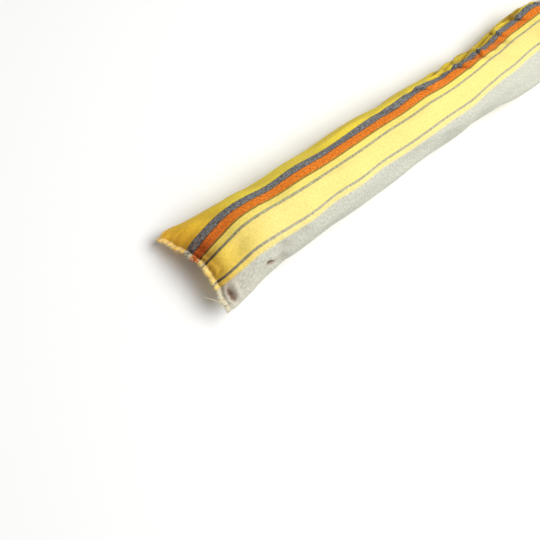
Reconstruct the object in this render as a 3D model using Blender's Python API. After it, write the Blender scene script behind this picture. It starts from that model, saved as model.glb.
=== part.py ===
"""A draught excluder: one panel of striped cotton sewn into a tube, filled with fibre and closed
at both ends by a flat overlocked seam. It lies on the floor along X, in metres, +Z up."""

import math

import bmesh
import bpy

# driving sizes of the sewn tube
LENGTH = 0.900          # ear tip to ear tip
GIRTH = 0.288           # cloth around the tube
CLOTH = 0.0012          # one layer of cloth in the flat seams
SEAM_EDGE = 0.0055      # sewn edge outside the stitch line
SHOULDER = 0.078        # from the stitch line to where the filling is full height
SETTLE = 0.0045         # how far the filled tube flattens on the floor
NOSE_CURVE = 2.2        # how round the filling's end is, and how steeply it meets the seam
NOSE_STEEPNESS = 0.62
SEAM_HOLD = 2.0         # how quickly the filling leaves the line of the end seam
GATHER_REACH = 0.034    # how far the gathers run from a stitch line into the tube
CREASE_START = 0.012    # distance from a stitch line over which creases deepen
SEAM_WAVES = 4.5        # waves of an end seam's edge from ear to ear, and their height
SEAM_WAVE_HEIGHT = 0.0011

# the long seam's edge, turned down against the back of the tube: width, thickness, rounding
RIDGE_WIDTH = 0.0060
RIDGE_HEIGHT = 0.0024
RIDGE_STEP = 0.0010

# steps along and around the tube
STEPS_AROUND_HALF = 25
END_STEPS = 18
END_CROWDING = 1.6
NEAR_PLAIN_STEPS = 30
FAR_PLAIN_STEPS = 15
CREASED_STEPS = 30
CREASED_FROM = -0.020
CREASED_TO = 0.215
ARC_STEPS = 24
HALVINGS = 24

# sections: place along X, middle's place along Y, half width, and turn of the cloth in degrees
SECTIONS = (
    {"along": -0.450, "side": -0.0040, "half_width": 0.0570, "turn": 0.0},
    {"along": -0.432, "side": -0.0035, "half_width": 0.0572, "turn": -3.0},
    {"along": -0.405, "side": -0.0030, "half_width": 0.0534, "turn": -7.5},
    {"along": -0.385, "side": -0.0010, "half_width": 0.0495, "turn": -8.5},
    {"along": -0.360, "side": -0.0013, "half_width": 0.0475, "turn": -8.5},
    {"along": -0.330, "side": -0.0023, "half_width": 0.0472, "turn": -7.8},
    {"along": -0.290, "side": -0.0030, "half_width": 0.0466, "turn": -7.2},
    {"along": -0.250, "side": -0.0025, "half_width": 0.0460, "turn": -8.0},
    {"along": -0.200, "side": -0.0023, "half_width": 0.0475, "turn": -8.0},
    {"along": -0.150, "side": 0.0013, "half_width": 0.0479, "turn": -5.8},
    {"along": -0.105, "side": 0.0013, "half_width": 0.0467, "turn": -5.4},
    {"along": -0.060, "side": 0.0012, "half_width": 0.0469, "turn": -6.8},
    {"along": -0.020, "side": -0.0010, "half_width": 0.0463, "turn": -9.0},
    {"along": 0.025, "side": -0.0021, "half_width": 0.0472, "turn": -11.5},
    {"along": 0.070, "side": -0.0008, "half_width": 0.0463, "turn": -14.0},
    {"along": 0.105, "side": 0.0007, "half_width": 0.0470, "turn": -16.5},
    {"along": 0.145, "side": 0.0001, "half_width": 0.0508, "turn": -20.0},
    {"along": 0.180, "side": 0.0004, "half_width": 0.0532, "turn": -24.0},
    {"along": 0.225, "side": 0.0014, "half_width": 0.0545, "turn": -27.0},
    {"along": 0.275, "side": 0.0030, "half_width": 0.0515, "turn": -25.0},
    {"along": 0.330, "side": 0.0018, "half_width": 0.0476, "turn": -17.0},
    {"along": 0.385, "side": 0.0028, "half_width": 0.0496, "turn": -6.0},
    {"along": 0.415, "side": 0.0035, "half_width": 0.0545, "turn": -1.5},
    {"along": 0.450, "side": 0.0040, "half_width": 0.0570, "turn": 0.0},
)

# the line of each end seam from the back ear to the front ear: share of the way across,
# how far it is drawn in towards the filling, and its height above the floor
NEAR_SEAM = (
    {"across": 0.00, "drawn_in": 0.0000, "height": 0.0180},
    {"across": 0.10, "drawn_in": 0.0040, "height": 0.0250},
    {"across": 0.25, "drawn_in": 0.0085, "height": 0.0340},
    {"across": 0.42, "drawn_in": 0.0130, "height": 0.0420},
    {"across": 0.58, "drawn_in": 0.0150, "height": 0.0425},
    {"across": 0.74, "drawn_in": 0.0140, "height": 0.0400},
    {"across": 0.88, "drawn_in": 0.0120, "height": 0.0360},
    {"across": 1.00, "drawn_in": 0.0120, "height": 0.0330},
)
FAR_SEAM = (
    {"across": 0.00, "drawn_in": 0.0080, "height": 0.0200},
    {"across": 0.12, "drawn_in": 0.0100, "height": 0.0265},
    {"across": 0.30, "drawn_in": 0.0135, "height": 0.0365},
    {"across": 0.50, "drawn_in": 0.0140, "height": 0.0430},
    {"across": 0.70, "drawn_in": 0.0110, "height": 0.0445},
    {"across": 0.88, "drawn_in": 0.0050, "height": 0.0440},
    {"across": 1.00, "drawn_in": 0.0000, "height": 0.0430},
)

# soft creases and dents: middle along X, middle around the cloth from the long seam over the
# top, half length, half width, heading in degrees from +X towards the front, and depth
CREASES = (
    {"along": -0.330, "arc": 0.020, "run": 0.016, "width": 0.011, "heading": 20, "depth": 0.0018},
    {"along": -0.352, "arc": 0.018, "run": 0.014, "width": 0.010, "heading": 60, "depth": -0.0014},
    {"along": -0.395, "arc": 0.030, "run": 0.018, "width": 0.007, "heading": 35, "depth": 0.0022},
    {"along": -0.402, "arc": 0.090, "run": 0.020, "width": 0.009, "heading": -10, "depth": 0.0016},
    {"along": -0.424, "arc": 0.128, "run": 0.014, "width": 0.006, "heading": -25, "depth": 0.0034},
    {"along": -0.350, "arc": 0.140, "run": 0.015, "width": 0.007, "heading": 50, "depth": 0.0028},
    {"along": -0.250, "arc": 0.037, "run": 0.030, "width": 0.010, "heading": 8, "depth": 0.0010},
    {"along": -0.130, "arc": 0.031, "run": 0.022, "width": 0.009, "heading": 18, "depth": 0.0014},
    {"along": -0.055, "arc": 0.040, "run": 0.018, "width": 0.006, "heading": 34, "depth": 0.0014},
    {"along": 0.002, "arc": 0.046, "run": 0.019, "width": 0.006, "heading": 40, "depth": 0.0020},
    {"along": 0.050, "arc": 0.052, "run": 0.021, "width": 0.006, "heading": 38, "depth": 0.0030},
    {"along": 0.094, "arc": 0.055, "run": 0.020, "width": 0.006, "heading": 42, "depth": 0.0032},
    {"along": 0.134, "arc": 0.054, "run": 0.018, "width": 0.006, "heading": 38, "depth": 0.0026},
    {"along": 0.173, "arc": 0.058, "run": 0.021, "width": 0.007, "heading": 40, "depth": 0.0034},
    {"along": 0.060, "arc": 0.027, "run": 0.040, "width": 0.005, "heading": 4, "depth": 0.0018},
    {"along": 0.150, "arc": 0.028, "run": 0.036, "width": 0.005, "heading": 6, "depth": 0.0020},
    {"along": 0.188, "arc": 0.020, "run": 0.012, "width": 0.010, "heading": 80, "depth": -0.0018},
    {"along": 0.262, "arc": 0.062, "run": 0.018, "width": 0.008, "heading": 36, "depth": 0.0018},
    {"along": 0.346, "arc": 0.115, "run": 0.018, "width": 0.008, "heading": -50, "depth": 0.0026},
    {"along": 0.398, "arc": 0.034, "run": 0.018, "width": 0.008, "heading": -30, "depth": 0.0022},
)

# gathers let into each end seam: place around the cloth, half width, and depth
GATHERS = (
    {"arc": 0.014, "width": 0.0050, "depth": 0.0018},
    {"arc": 0.033, "width": 0.0042, "depth": 0.0013},
    {"arc": 0.052, "width": 0.0050, "depth": 0.0020},
    {"arc": 0.071, "width": 0.0044, "depth": 0.0014},
    {"arc": 0.092, "width": 0.0052, "depth": 0.0019},
    {"arc": 0.112, "width": 0.0044, "depth": 0.0015},
    {"arc": 0.130, "width": 0.0048, "depth": 0.0020},
    {"arc": 0.158, "width": 0.0050, "depth": 0.0018},
    {"arc": 0.178, "width": 0.0046, "depth": 0.0014},
    {"arc": 0.200, "width": 0.0052, "depth": 0.0020},
    {"arc": 0.222, "width": 0.0044, "depth": 0.0014},
    {"arc": 0.243, "width": 0.0050, "depth": 0.0018},
    {"arc": 0.264, "width": 0.0046, "depth": 0.0014},
)

# long low swells of uneven filling: waves along the length, waves around, height, and phase
SWELLS = (
    {"per_length": 3.2, "around": 1, "height": 0.0011, "phase": 0.6},
    {"per_length": 7.4, "around": 2, "height": 0.0007, "phase": 2.1},
    {"per_length": 11.3, "around": 1, "height": 0.0006, "phase": 4.0},
)

CLOTH_COLOUR = (0.80, 0.62, 0.16, 1.0)
CLOTH_ROUGHNESS = 0.85


def read_table(rows, key, value, place):
    """Smooth curve through one column of a table."""
    last = len(rows) - 1
    place = min(max(place, rows[0][key]), rows[last][key])
    index = 0
    while index < last - 1 and place > rows[index + 1][key]:
        index += 1

    def slope(here):
        before = rows[max(here - 1, 0)]
        after = rows[min(here + 1, last)]
        return (after[value] - before[value]) / (after[key] - before[key])

    start = rows[index]
    end = rows[index + 1]
    span = end[key] - start[key]
    share = (place - start[key]) / span
    square = share ** 2
    cube = share ** 3
    return ((2 * cube - 3 * square + 1) * start[value]
            + (cube - 2 * square + share) * slope(index) * span
            + (3 * square - 2 * cube) * end[value]
            + (cube - square) * slope(index + 1) * span)


def ease(share):
    """Soft step from 0 to 1."""
    share = min(max(share, 0.0), 1.0)
    return share * share * (3.0 - 2.0 * share)


def oval_girth(half_width, half_height):
    """Length around an oval section."""
    total = half_width + half_height
    skew = ((half_width - half_height) / total) ** 2
    return math.pi * total * (1 + 3 * skew / (10 + math.sqrt(4 - 3 * skew)))


def full_half_height(half_width):
    """Half height of a full section, which uses up the cloth's girth."""
    low = CLOTH
    high = GIRTH / 4
    for _ in range(HALVINGS):
        middle = (low + high) / 2
        if oval_girth(half_width, middle) < GIRTH:
            low = middle
        else:
            high = middle
    return low


def oval_angle(half_width, half_height, share):
    """Angle on an oval at a share of the way around it by length, from +Y over the top."""
    share = share % 1.0
    quarter = int(share * 4)
    wanted = share * 4 - quarter
    if quarter % 2:
        wanted = 1 - wanted
    lengths = [0.0]
    step = math.pi / 2 / ARC_STEPS
    for index in range(ARC_STEPS):
        angle = (index + 0.5) * step
        lengths.append(lengths[-1] + step * math.hypot(half_width * math.sin(angle),
                                                       half_height * math.cos(angle)))
    target = wanted * lengths[-1]
    index = 0
    while index < ARC_STEPS - 1 and lengths[index + 1] < target:
        index += 1
    angle = (index + (target - lengths[index]) / (lengths[index + 1] - lengths[index])) * step
    if quarter % 2:
        return (quarter + 1) * math.pi / 2 - angle
    return quarter * math.pi / 2 + angle


def crease_depth(along, arc):
    """How far the creases and dents press the cloth in at a place on it."""
    depth = 0.0
    for crease in CREASES:
        heading = math.radians(crease["heading"])
        forward = along - crease["along"]
        sideways = arc - crease["arc"]
        on_line = forward * math.cos(heading) + sideways * math.sin(heading)
        off_line = sideways * math.cos(heading) - forward * math.sin(heading)
        spread = (on_line / crease["run"]) ** 2 + (off_line / crease["width"]) ** 2
        depth += crease["depth"] * math.exp(-spread)
    return depth


def gather_depth(inward, arc):
    """How far the gathers press the cloth in, at a distance inward from a stitch line."""
    if inward <= 0 or inward >= GATHER_REACH:
        return 0.0
    share = inward / GATHER_REACH
    fade = share * (1 - share) ** 2 * 27 / 4
    depth = 0.0
    for gather in GATHERS:
        depth += gather["depth"] * math.exp(-((arc - gather["arc"]) / gather["width"]) ** 2)
    return depth * fade


def swell(along, arc):
    """Rise and fall of the cloth over the uneven filling."""
    height = 0.0
    for wave in SWELLS:
        phase = 2 * math.pi * (wave["per_length"] * along / LENGTH + wave["around"] * arc / GIRTH)
        height += wave["height"] * math.sin(phase + wave["phase"])
    return height


def cloth_point(along, arc, ridge=0.0):
    """Place of one point of the cloth, from its place along the tube and around it."""
    half_length = LENGTH / 2
    near = along < 0
    inward = half_length - SEAM_EDGE - abs(along)
    filled = min(max(inward / SHOULDER, 0.0), 1.0)
    half_width = read_table(SECTIONS, "along", "half_width", along)
    side = read_table(SECTIONS, "along", "side", along)
    turn = read_table(SECTIONS, "along", "turn", along)
    full = full_half_height(half_width)
    half_height = max(full * (1 - (1 - filled) ** NOSE_CURVE) ** NOSE_STEEPNESS, CLOTH)

    angle = oval_angle(half_width, half_height, arc / GIRTH + turn / 360)
    across = half_width * math.cos(angle)
    up = half_height * math.sin(angle)
    out_across = math.cos(angle) / half_width
    out_up = math.sin(angle) / half_height
    scale = math.hypot(out_across, out_up)
    out_across /= scale
    out_up /= scale

    fullness = ease(inward / GATHER_REACH)
    raised = swell(along, arc) * ease(filled) + ridge * fullness
    raised -= crease_depth(along, arc) * ease(inward / CREASE_START)
    raised -= gather_depth(inward, arc)
    across += out_across * raised
    up += out_up * raised

    seam = NEAR_SEAM if near else FAR_SEAM
    share_across = 0.5 - 0.5 * across / half_width
    held = (1 - filled) ** SEAM_HOLD
    drawn_in = read_table(seam, "across", "drawn_in", share_across) * held
    seam_height = read_table(seam, "across", "height", share_across)
    seam_height += SEAM_WAVE_HEIGHT * math.sin(2 * math.pi * SEAM_WAVES * share_across)
    lift = (full - SETTLE) * (1 - held) + seam_height * held
    shift = drawn_in if near else -drawn_in
    return along + shift, side + across, max(lift + up, 0.0)


def stations():
    """Places along the tube, close together at the ends and over the puckers."""
    edge = LENGTH / 2
    stitch = edge - SEAM_EDGE
    full = stitch - SHOULDER
    near = [-edge, -stitch]
    for step in range(1, END_STEPS + 1):
        near.append(-stitch + SHOULDER * (step / END_STEPS) ** END_CROWDING)
    places = near[:]
    for step in range(1, NEAR_PLAIN_STEPS + 1):
        places.append(-full + (CREASED_FROM + full) * step / NEAR_PLAIN_STEPS)
    for step in range(1, CREASED_STEPS + 1):
        places.append(CREASED_FROM + (CREASED_TO - CREASED_FROM) * step / CREASED_STEPS)
    for step in range(1, FAR_PLAIN_STEPS):
        places.append(CREASED_TO + (full - CREASED_TO) * step / FAR_PLAIN_STEPS)
    places.extend(-place for place in reversed(near))
    return places


def arcs_around():
    """Places around the cloth, from the long seam over the top and back underneath."""
    ridge_end = RIDGE_STEP + RIDGE_WIDTH
    half = [0.0, RIDGE_STEP, ridge_end - RIDGE_STEP, ridge_end]
    for step in range(1, STEPS_AROUND_HALF + 1):
        half.append(ridge_end + (GIRTH / 2 - ridge_end) * step / STEPS_AROUND_HALF)
    under = [GIRTH - arc for arc in reversed(half[1:-1])]
    return half + under


def stuffed_tube():
    """The whole filled tube with its flat end seams, as one closed solid."""
    bm = bmesh.new()
    arcs = arcs_around()
    count = len(arcs)
    crest = (count - 1, count - 2)
    rings = []
    for along in stations():
        ring = []
        for index, arc in enumerate(arcs):
            ridge = RIDGE_HEIGHT if index in crest else 0.0
            ring.append(bm.verts.new(cloth_point(along, arc, ridge)))
        rings.append(ring)
    for ring, following in zip(rings, rings[1:]):
        for index in range(count):
            beside = (index + 1) % count
            bm.faces.new((ring[index], ring[beside], following[beside], following[index]))

    # the cut edges of the two layers at each end
    half = count // 2
    for ring in (rings[0], rings[-1]):
        for index in range(half):
            corners = [ring[index], ring[index + 1], ring[-index - 1], ring[-index]]
            if index == 0:
                corners.pop()
            if index == half - 1:
                corners.pop(2)
            bm.faces.new(corners)
    bmesh.ops.recalc_face_normals(bm, faces=bm.faces)
    mesh = bpy.data.meshes.new("stuffed_tube")
    bm.to_mesh(mesh)
    bm.free()
    return mesh


def cloth_material():
    """Plain matt cotton."""
    material = bpy.data.materials.new("striped_cotton")
    material.use_nodes = True
    shader = material.node_tree.nodes["Principled BSDF"]
    shader.inputs["Base Color"].default_value = CLOTH_COLOUR
    shader.inputs["Roughness"].default_value = CLOTH_ROUGHNESS
    shader.inputs["Metallic"].default_value = 0.0
    return material


def main():
    for old in list(bpy.data.objects):
        bpy.data.objects.remove(old, do_unlink=True)
    collection = bpy.data.collections.new("draught_excluder")
    bpy.context.scene.collection.children.link(collection)
    tube = bpy.data.objects.new("stuffed_tube", stuffed_tube())
    tube.data.materials.append(cloth_material())
    tube.data.shade_smooth()
    collection.objects.link(tube)


main()
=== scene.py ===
import math
import random
from functools import partial

import bmesh
import bpy
import numpy as np
from mathutils import Matrix, Vector


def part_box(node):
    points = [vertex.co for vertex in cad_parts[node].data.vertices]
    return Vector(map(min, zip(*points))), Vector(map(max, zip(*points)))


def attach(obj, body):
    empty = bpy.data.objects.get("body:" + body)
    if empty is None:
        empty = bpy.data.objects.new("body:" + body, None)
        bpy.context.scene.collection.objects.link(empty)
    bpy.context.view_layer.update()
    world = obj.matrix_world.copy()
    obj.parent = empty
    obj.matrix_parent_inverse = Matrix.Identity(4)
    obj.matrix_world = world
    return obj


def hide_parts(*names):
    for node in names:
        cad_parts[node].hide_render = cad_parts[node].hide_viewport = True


# A striped draught excluder: a panel of woven cotton sewn into a tube, stuffed with fibre,
# closed at both ends by flat overlocked seams. Metres, +Z up, X along the tube.

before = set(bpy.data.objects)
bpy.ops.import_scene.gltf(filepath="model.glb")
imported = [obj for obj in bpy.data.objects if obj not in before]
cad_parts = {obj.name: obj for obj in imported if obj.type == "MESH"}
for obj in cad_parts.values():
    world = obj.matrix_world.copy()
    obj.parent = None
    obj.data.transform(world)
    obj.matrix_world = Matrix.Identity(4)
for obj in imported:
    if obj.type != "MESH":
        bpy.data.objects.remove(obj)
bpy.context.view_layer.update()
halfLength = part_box("stuffed_tube")[1].x
print("frame loaded")

random.seed(7)
scene = bpy.context.scene


def table(columns, plain, rows):
    # a dictionary for each row; the plain columns are as written, the others in millimetres
    return [{name: value if name in plain.split() else round(value / 1000, 7)
             for name, value in zip(columns.split(), row)} for row in rows]


def takeMesh(name, bm):
    mesh = bpy.data.meshes.new(name)
    bm.to_mesh(mesh)
    bm.free()
    return mesh


def addObject(name, data):
    made = bpy.data.objects.new(name, data)
    scene.collection.objects.link(made)
    return made


def plug(tree, socket, source):
    # a number or a colour stays on the socket, anything else is linked to it
    if isinstance(source, (int, float, tuple)):
        socket.default_value = source
    else:
        tree.links.new(source, socket)


def newMaterial(name, inputs):
    material = bpy.data.materials.new(name)
    material.use_nodes = True
    tree = material.node_tree
    shader = tree.nodes["Principled BSDF"]
    for label, value in inputs.items():
        plug(tree, shader.inputs[label], value)
    return material, tree, shader


# camera, floor and light

cameraView = {
    "place": (-0.6988, -0.0727, 0.6640),
    "down": 62.0,  # degrees below the horizon
    "heading": 4.0,  # degrees from +X towards +Y
    "roll": 50.0,
    "lens": 41.33, "sensor": 36.0,
}

lighting = {
    "floorSize": 40.0,
    "floorPaint": {"Base Color": (0.84, 0.84, 0.83, 1.0), "Roughness": 0.9, "Specular IOR Level": 0.1},
    "skyColour": (1.0, 1.0, 1.0, 1.0),
    "skyStrength": 0.29,
    "aim": (0.0, 0.0, 0.03),
    "lamps": (
        {"name": "keyLamp", "place": (0.32, -0.54, 2.05), "size": 1.9, "power": 61.0},
        {"name": "fillLamp", "place": (-1.60, 0.60, 1.80), "size": 1.6, "power": 3.0},
    ),
}


def aimMatrix(place, forward):
    forward = forward.normalized()
    right = forward.cross(Vector((0.0, 0.0, 1.0))).normalized()
    upward = right.cross(forward)
    turn = Matrix((right, upward, -forward)).transposed()
    return Matrix.Translation(place) @ turn.to_4x4()


def makeCamera():
    down, heading, roll = (math.radians(cameraView[key]) for key in ("down", "heading", "roll"))
    flat = Vector((math.cos(heading), math.sin(heading), 0.0))
    forward = flat * math.cos(down) - Vector((0.0, 0.0, math.sin(down)))
    matrix = aimMatrix(Vector(cameraView["place"]), forward)
    camera = addObject("camera", bpy.data.cameras.new("camera"))
    camera.data.lens = cameraView["lens"]
    camera.data.sensor_width = cameraView["sensor"]
    camera.matrix_world = matrix @ Matrix.Rotation(roll, 4, "Z")
    scene.camera = camera


def makeStage():
    bm = bmesh.new()
    bmesh.ops.create_grid(bm, x_segments=1, y_segments=1, size=lighting["floorSize"] / 2)
    floor = addObject("floor", takeMesh("floor", bm))
    floor.data.materials.append(newMaterial("floorPaint", lighting["floorPaint"])[0])

    scene.world = bpy.data.worlds.new("studio")
    scene.world.use_nodes = True
    background = scene.world.node_tree.nodes["Background"]
    background.inputs["Color"].default_value = lighting["skyColour"]
    background.inputs["Strength"].default_value = lighting["skyStrength"]
    for lamp in lighting["lamps"]:
        data = bpy.data.lights.new(lamp["name"], "AREA")
        data.size = lamp["size"]
        data.energy = lamp["power"]
        place = Vector(lamp["place"])
        addObject(lamp["name"], data).matrix_world = aimMatrix(place, Vector(lighting["aim"]) - place)
    scene.view_settings.view_transform = "Standard"


makeCamera()
makeStage()
print("camera, floor and light made")


# form of the stuffed tube, on the same sizes as its solid

tube = {
    "girth": 0.288,  # a panel 0.144 m wide when it lies flat
    "seamEdge": 0.0055,  # sewn edge outside the stitch line
    "edgeThickness": 0.0009,  # half the thickness of the two sewn layers
    "shoulder": 0.078,  # from the stitch line to the full section
    "settle": 0.0045,  # how far its own weight flattens the under side
    "noseCurve": 2.2, "noseSteepness": 0.62, "seamHold": 2.0,
    "gatherReach": 0.034,
    "creaseStart": 0.009,  # folds and dents are full this far in from the stitch line
    "seamWaves": 4.5, "seamWaveHeight": 0.0011,
    "edgeInsets": (0.0, 0.0006, 0.0018, 0.0034, 0.0046),
    "aroundSteps": 144, "endStep": 0.0019, "middleStep": 0.0026,
    "endCrowding": 1.25,  # rings stand closer together towards the stitch line
}
halfGirth = tube["girth"] / 2
stitchLine = halfLength - tube["seamEdge"]

# from the near end to the far end, turn in degrees
sections = table("along side halfWidth turn", "turn", (
    (-450, -4, 57, 0), (-432, -3.5, 57.2, -3), (-405, -3, 53.4, -7.5), (-385, -1, 49.5, -8.5),
    (-360, -1.3, 47.5, -8.5), (-330, -2.3, 47.2, -7.8), (-290, -3, 46.6, -7.2),
    (-250, -2.5, 46, -8), (-200, -2.3, 47.5, -8), (-150, 1.3, 47.9, -5.8),
    (-105, 1.3, 46.7, -5.4), (-60, 1.2, 46.9, -6.8), (-20, -1, 46.3, -9),
    (25, -2.1, 47.2, -11.5), (70, -0.8, 46.3, -14), (105, 0.7, 47, -16.5),
    (145, 0.1, 50.8, -20), (180, 0.4, 53.2, -24), (225, 1.4, 54.5, -27), (275, 3, 51.5, -25),
    (330, 1.8, 47.6, -17), (385, 2.8, 49.6, -6), (415, 3.5, 54.5, -1.5), (450, 4, 57, 0),
))

# each end seam from the back ear to the front ear
nearSeam = table("across drawnIn height", "across", (
    (0, 0, 18), (0.1, 4, 25), (0.25, 8.5, 34), (0.42, 13, 42), (0.58, 15, 42.5), (0.74, 14, 40),
    (0.88, 12, 36), (1, 12, 33),
))
farSeam = table("across drawnIn height", "across", (
    (0, 8, 20), (0.12, 10, 26.5), (0.3, 13.5, 36.5), (0.5, 14, 43), (0.7, 11, 44.5),
    (0.88, 5, 44), (1, 0, 43),
))

# soft creases and dents, heading in degrees from +X towards the front
creases = table("along arc run width heading depth", "heading", (
    (-330, 20, 16, 11, 20, 1.8), (-352, 18, 14, 10, 60, -1.4), (-395, 30, 18, 7, 35, 2.2),
    (-402, 90, 20, 9, -10, 1.6), (-424, 128, 14, 6, -25, 1.2), (-436, 61, 13, 4.8, 90, 3.6),
    (-434, 86, 10, 5, 80, 1.6), (-349, 119, 11, 6, 40, 2.4), (-318, 118, 10, 7, 60, 1.3),
    (-350, 140, 15, 7, 50, 2.8), (-250, 37, 30, 10, 8, 1), (-130, 31, 22, 9, 18, 1.4),
    (-55, 40, 18, 6, 34, 1.4), (2, 46, 19, 6, 40, 2), (50, 52, 21, 6, 38, 3),
    (94, 55, 20, 6, 42, 3.2), (134, 54, 18, 6, 38, 2.6), (173, 58, 21, 7, 40, 3.4),
    (60, 27, 40, 5, 4, 1.8), (150, 28, 36, 5, 6, 2), (136, 20, 40, 18, 0, 4),
    (56, 14, 30, 15, 0, 2.6), (292, 36, 52, 27, 0, -10.8), (262, 62, 18, 8, 36, 1.8),
    (346, 115, 18, 8, -50, 2.6), (398, 34, 18, 8, -30, 2.2),
))

# sharp folds, each a valley through three places with a ridge standing up beside it
folds = table("fromAlong fromArc byAlong byArc toAlong toArc width depth", "", (
    (6, 40, 41, 42, 56, 66, 2.9, 4.2), (122, 18, 112, 40, 94, 64, 2.9, 4.2),
    (214, 20, 188, 40, 196, 64, 2.9, 4.2), (-64, 41, -44, 46, -30, 61, 2.6, 2.4),
    (264, 24, 248, 40, 256, 60, 2.9, 4.2), (304, 20, 292, 38, 300, 56, 2.9, 2.8),
    (-128, 42, -110, 45, -90, 54, 2.5, 1.5), (4, 30, 30, 20, 62, 8, 3.2, 3),
    (26, 38, 56, 27, 94, 12, 3.2, 3), (60, 38, 92, 33, 124, 24, 3.2, 3),
    (130, 22, 168, 27, 206, 31, 3.2, 3), (132, 34, 158, 37, 184, 38, 3.2, 3),
    (146, 10, 178, 13, 208, 17, 3.2, 3), (208, 34, 238, 37, 274, 35, 3.2, 3),
    (206, 24, 242, 27, 282, 22, 3.2, 3), (-10, 34, 8, 39, 26, 50, 2.6, 2.8),
    (64, 40, 78, 50, 94, 58, 2.6, 2.8), (198, 14, 236, 17, 280, 12, 3.2, 3),
    (230, 30, 262, 32, 296, 28, 3.2, 2.8), (86, 22, 116, 18, 146, 14, 3.2, 2.8),
    (20, 30, 76, 31, 130, 29, 7, 1.1), (130, 27, 180, 24, 232, 25, 7, 1.1),
    (232, 25, 276, 27, 320, 24, 7, 1), (-378, 125, -371, 130, -361, 136, 3, 5.6),
    (-437.5, 114, -433, 126, -432.5, 139, 3.8, 6.6),
    (-443, 119, -438, 123, -430, 126, 1.6, 1.2), (-444, 127, -438, 131, -428, 133, 1.6, 1.2),
    (-443, 46, -434, 49, -422, 50, 2.4, 1.8), (-443, 64, -432, 66, -418, 65, 2.4, 2),
    (-444, 78, -436, 79, -426, 82, 2.2, 1.8), (-444, 93, -436, 93, -427, 90, 2.2, 1.8),
    (-444, 106, -437, 107, -428, 108, 2, 1.6), (-444, 20, -436, 21, -424, 24, 2.4, 1.6),
    (-352, 4, -346, 16, -338, 28, 3.4, 1.6), (352, 96, 366, 108, 372, 124, 3.2, 1.6),
    (404, 50, 392, 64, 386, 82, 3.2, 1.6), (444, 36, 434, 38, 422, 36, 2.4, 1.8),
    (444, 62, 434, 61, 420, 64, 2.4, 2), (444, 88, 436, 90, 424, 88, 2.4, 1.8),
    (444, 116, 434, 118, 424, 122, 2.4, 2),
))

foldShape = {
    "pieces": 8,
    "clearance": 0.012,  # rings of the cloth further off than this don't meet the fold
    "endSoftness": 0.8,
    # valley, ridge and shade: place across the fold and reach, in widths of the fold
    "parts": ((0.0, 1.0), (1.9, 1.2), (-0.2, 0.85)),
    "ridgeShare": 0.45,  # height of the ridge as a share of the fold's depth
    "shutDepth": 0.0032,  # a fold this deep is in full shade
    "dentDepth": 0.0110,  # and a soft dent this deep
}

# gathers let into each end seam
gathers = table("arc width depth", "", (
    (14, 5, 1.8), (33, 4.2, 1.3), (52, 5, 2), (71, 4.4, 1.4), (92, 5.2, 1.9), (112, 4.4, 1.5),
    (130, 4.8, 2), (158, 5, 1.8), (178, 4.6, 1.4), (200, 5.2, 2), (222, 4.4, 1.4),
    (243, 5, 1.8), (264, 4.6, 1.4),
))

# long low waves of the filling
swells = table("perLength around height phase", "perLength around phase", (
    (3.2, 1, 1.1, 0.6), (7.4, 2, 0.7, 2.1), (11.3, 1, 0.6, 4.0),
))

# the long seam lies turned down on the back side, and opens outwards towards both ears
longSeam = {
    "ridgeWidth": 0.0061, "ridgeHeight": 0.0022,
    "riseStart": 0.0007, "riseOver": 0.0016, "fallOver": 0.0009,
    "groovePlace": 0.0014, "grooveWidth": 0.0010, "grooveDepth": 0.0006,
    "openFrom": 0.012, "openOver": 0.022, "fadeOver": 0.006,
    "places": (0.0, 0.0008, 0.0018, 0.0030, 0.0042, 0.0054, 0.0062, 0.0070, 0.0082),
}

# uneven waves of the sewn edge
ruffleReach = {"from": 0.008, "over": 0.012, "liftLag": 0.13}
ruffles = table("waves out lift phase", "waves phase", (
    (6, 0.7, 0.6, (0.10, 0.55)), (13, 0.6, 0.7, (0.72, 0.20)), (23, 0.4, 0.5, (0.31, 0.84)),
))

pressing = {
    "step": 0.0052,  # the simulated panel is coarser than the finished one
    "aroundSteps": 56,
    "cutLength": 0.915,
    "cloth": {"quality": 4, "mass": 0.3, "tension_stiffness": 25.0, "compression_stiffness": 25.0,
              "shear_stiffness": 8.0, "bending_stiffness": 0.6, "air_damping": 2.0,
              "use_pressure": True, "uniform_pressure_force": 4.0},
    "frames": 20,
    "reach": 6,  # grid steps over which the slow part of the movement is taken out
    "mostMoved": 0.0040, "gain": 1.3,
    "evenedOver": 2,  # grid steps over which the wrinkles are evened at the end
}


def readTable(rows, key, value, places):
    # smooth curve through one column of a table
    xs = np.array([row[key] for row in rows])
    ys = np.array([row[value] for row in rows])
    places = np.clip(places, xs[0], xs[-1])
    wide, tall = (np.pad(values, 1, "edge") for values in (xs, ys))
    slopes = (tall[2:] - tall[:-2]) / (wide[2:] - wide[:-2])
    index = np.clip(np.searchsorted(xs, places) - 1, 0, len(xs) - 2)
    span = xs[index + 1] - xs[index]
    share = (places - xs[index]) / span
    square, cube = share ** 2, share ** 3
    return ((2 * cube - 3 * square + 1) * ys[index] + (cube - 2 * square + share) * slopes[index] * span
            + (3 * square - 2 * cube) * ys[index + 1] + (cube - square) * slopes[index + 1] * span)


def ease(share):
    share = np.clip(share, 0.0, 1.0)
    return share * share * (3.0 - 2.0 * share)


def ovalGirth(halfWidth, halfHeight):
    total = halfWidth + halfHeight
    skew = ((halfWidth - halfHeight) / total) ** 2
    return math.pi * total * (1 + 3 * skew / (10 + math.sqrt(4 - 3 * skew)))


def fullHalfHeight(halfWidth):
    low, high = tube["edgeThickness"], tube["girth"] / 4
    for _ in range(24):
        middle = (low + high) / 2
        if ovalGirth(halfWidth, middle) < tube["girth"]:
            low = middle
        else:
            high = middle
    return low


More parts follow.
